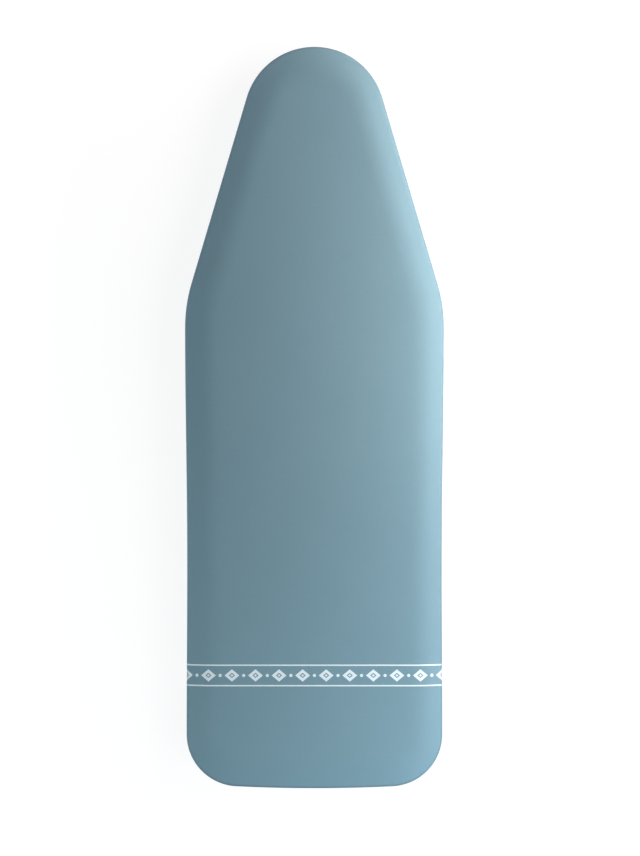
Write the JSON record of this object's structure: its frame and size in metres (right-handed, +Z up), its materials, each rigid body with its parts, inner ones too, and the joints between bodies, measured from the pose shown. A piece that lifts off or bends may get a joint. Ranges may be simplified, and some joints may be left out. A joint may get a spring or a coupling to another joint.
{
  "type": "ironing board cover",
  "caption": "Padded cotton cover for an ironing board, blunt at the tail and tapered to a round nose, with an elastic hem turned under the edge and touch-fastening straps across the underside.",
  "frame": {"origin": "on the surface the cover lies on, under the middle of its length and width", "axes": "+Y along the cover towards the nose, +Z up out of the ironing surface, +X to the right seen from above with the nose up"},
  "size_m": [0.419, 1.2, 0.0396],
  "materials": {
    "cotton": "matte",
    "foam": "matte",
    "felt": "matte",
    "binding_tape": "matte",
    "elastic": "matte",
    "webbing": "matte",
    "hook_tape": "matte",
    "loop_tape": "matte"
  },
  "bodies": {
    "cover": {"cover_fabric": "cotton", "foam_pad": "foam", "felt_pad": "felt", "hem_binding": "binding_tape", "hem_elastic": "elastic", "rear_hook_strap_root": "webbing", "rear_loop_strap_root": "webbing", "middle_hook_strap_root": "webbing", "middle_loop_strap_root": "webbing", "front_hook_strap_root": "webbing", "front_loop_strap_root": "webbing"},
    "rear_hook": {"rear_hook_strap": "webbing", "rear_hook_patch": "hook_tape"},
    "rear_loop": {"rear_loop_strap": "webbing", "rear_loop_patch": "loop_tape"},
    "middle_hook": {"middle_hook_strap": "webbing", "middle_hook_patch": "hook_tape"},
    "middle_loop": {"middle_loop_strap": "webbing", "middle_loop_patch": "loop_tape"},
    "front_hook": {"front_hook_strap": "webbing", "front_hook_patch": "hook_tape"},
    "front_loop": {"front_loop_strap": "webbing", "front_loop_patch": "loop_tape"}
  },
  "joints": [
    {"name": "rear_hook_swing", "type": "hinge", "parent": "cover", "child": "rear_hook", "pos_m": [0.14344, -0.40276, 0.0046], "axis": [0, -1, 0], "range_deg": [0, 120]},
    {"name": "rear_loop_swing", "type": "hinge", "parent": "cover", "child": "rear_loop", "pos_m": [-0.14344, -0.40276, 0.0046], "axis": [0, 1, 0], "range_deg": [0, 60]},
    {"name": "middle_hook_swing", "type": "hinge", "parent": "cover", "child": "middle_hook", "pos_m": [0.14297, -0.18326, 0.0046], "axis": [0, -1, 0], "range_deg": [0, 120]},
    {"name": "middle_loop_swing", "type": "hinge", "parent": "cover", "child": "middle_loop", "pos_m": [-0.14297, -0.18326, 0.0046], "axis": [0, 1, 0], "range_deg": [0, 60]},
    {"name": "front_hook_swing", "type": "hinge", "parent": "cover", "child": "front_hook", "pos_m": [0.14499, 0.03625, 0.0046], "axis": [0, -1, 0], "range_deg": [0, 120]},
    {"name": "front_loop_swing", "type": "hinge", "parent": "cover", "child": "front_loop", "pos_m": [-0.14499, 0.03625, 0.0046], "axis": [0, 1, 0], "range_deg": [0, 60]}
  ],
  "couplings": [
    {"joint": "rear_loop_swing", "follows": "rear_hook_swing", "ratio": 0.5},
    {"joint": "middle_loop_swing", "follows": "middle_hook_swing", "ratio": 0.5},
    {"joint": "front_loop_swing", "follows": "front_hook_swing", "ratio": 0.5}
  ]
}
